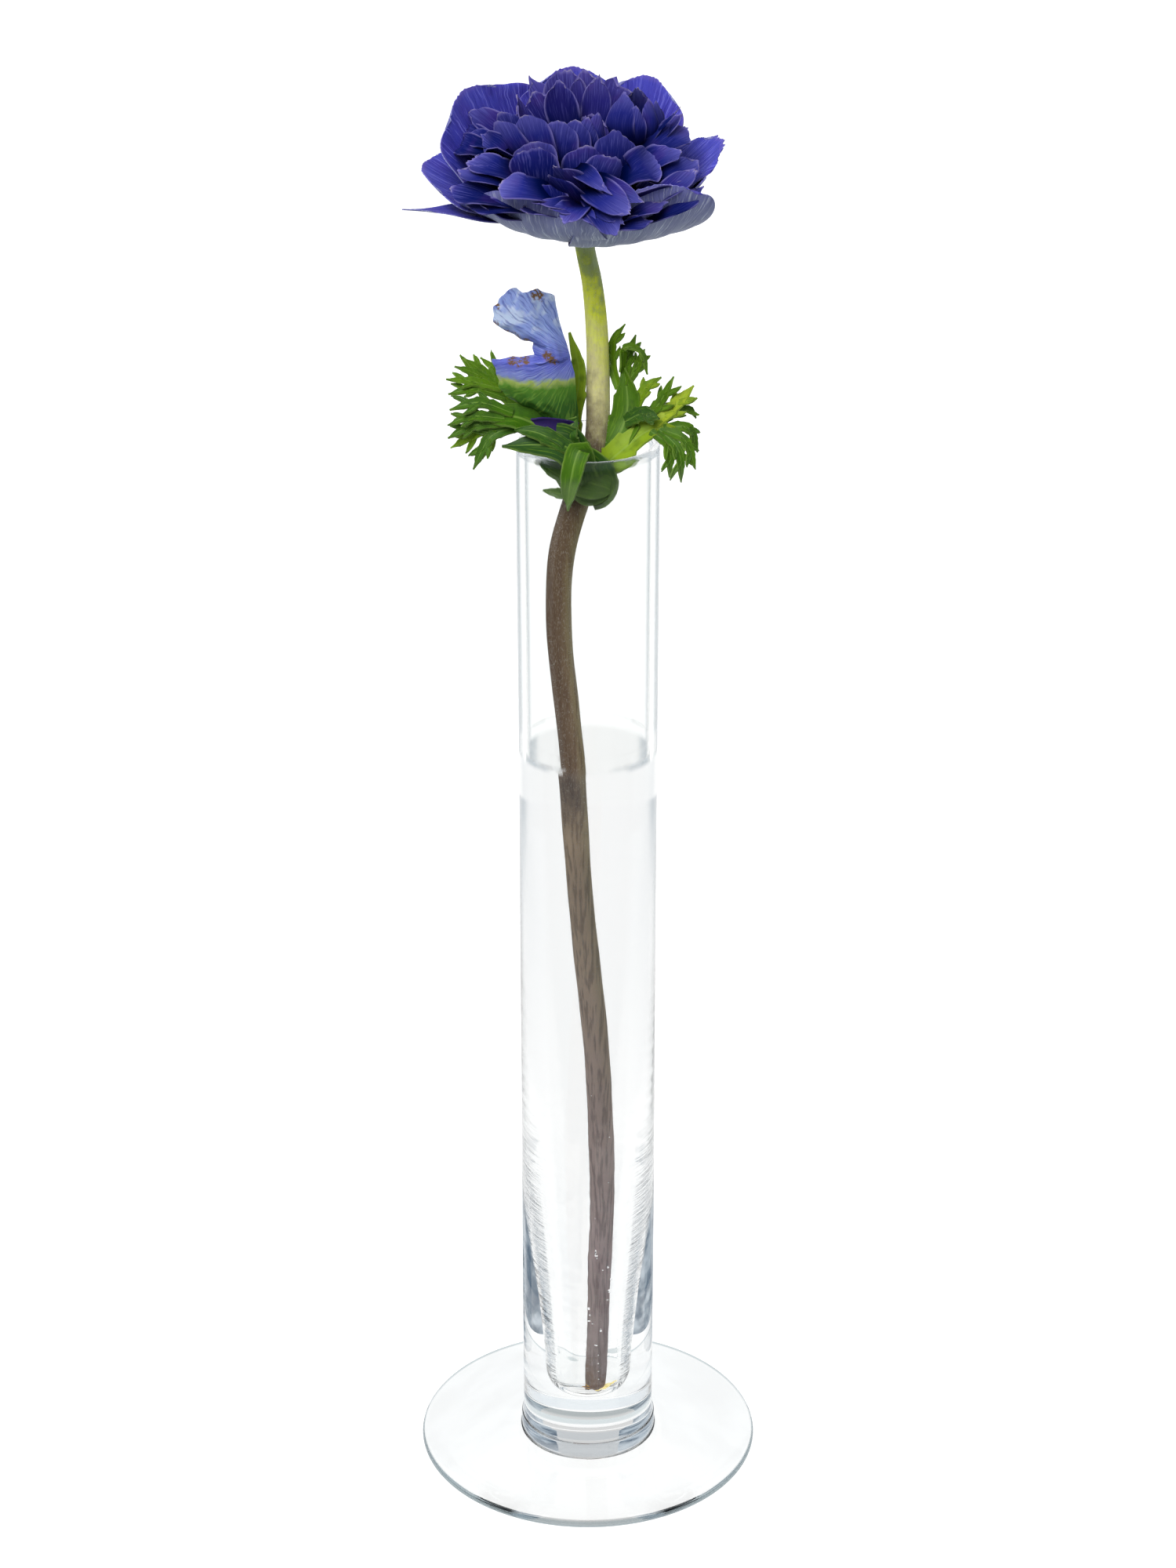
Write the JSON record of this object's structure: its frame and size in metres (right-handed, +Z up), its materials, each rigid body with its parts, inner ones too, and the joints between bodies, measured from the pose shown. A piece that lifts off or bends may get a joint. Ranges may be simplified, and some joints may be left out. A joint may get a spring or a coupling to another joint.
{
  "type": "anemone flower in a bud vase",
  "caption": "Double blue-violet anemone on a curved stem with a collar of cut leaves, standing in a tall clear glass bud vase of water with a round foot.",
  "frame": {"origin": "middle of the flat underside of the vase's foot", "axes": "+Z up along the vase's tube, -Y the side that the flower faces"},
  "size_m": [0.091, 0.091, 0.3698],
  "materials": {
    "clear_glass": "clear polished glass, very slightly green in the thick base",
    "water": "clear still water",
    "stem_green": "soft matte stem with fine hairs, yellow green above and mauve brown below",
    "leaf_green": "satin green leaf with fine veins",
    "bract_blue": "papery pale blue petal that turns green at its base, with dry brown edges",
    "tepal_blue": "thin satin petal, blue violet inside and silvery blue grey underneath",
    "petal_violet": "velvety deep indigo petal with lighter edges",
    "centre_dark": "matte near-black dome with fine hairs"
  },
  "bodies": {
    "root": {"vase": "clear_glass", "water": "water", "stem": "stem_green", "leaf_front": "leaf_green", "leaf_right": "leaf_green", "leaf_left": "leaf_green", "petaloid_bract": "bract_blue", "outer_tepals": "tepal_blue", "inner_petals": "petal_violet", "flower_centre": "centre_dark"}
  },
  "joints": []
}
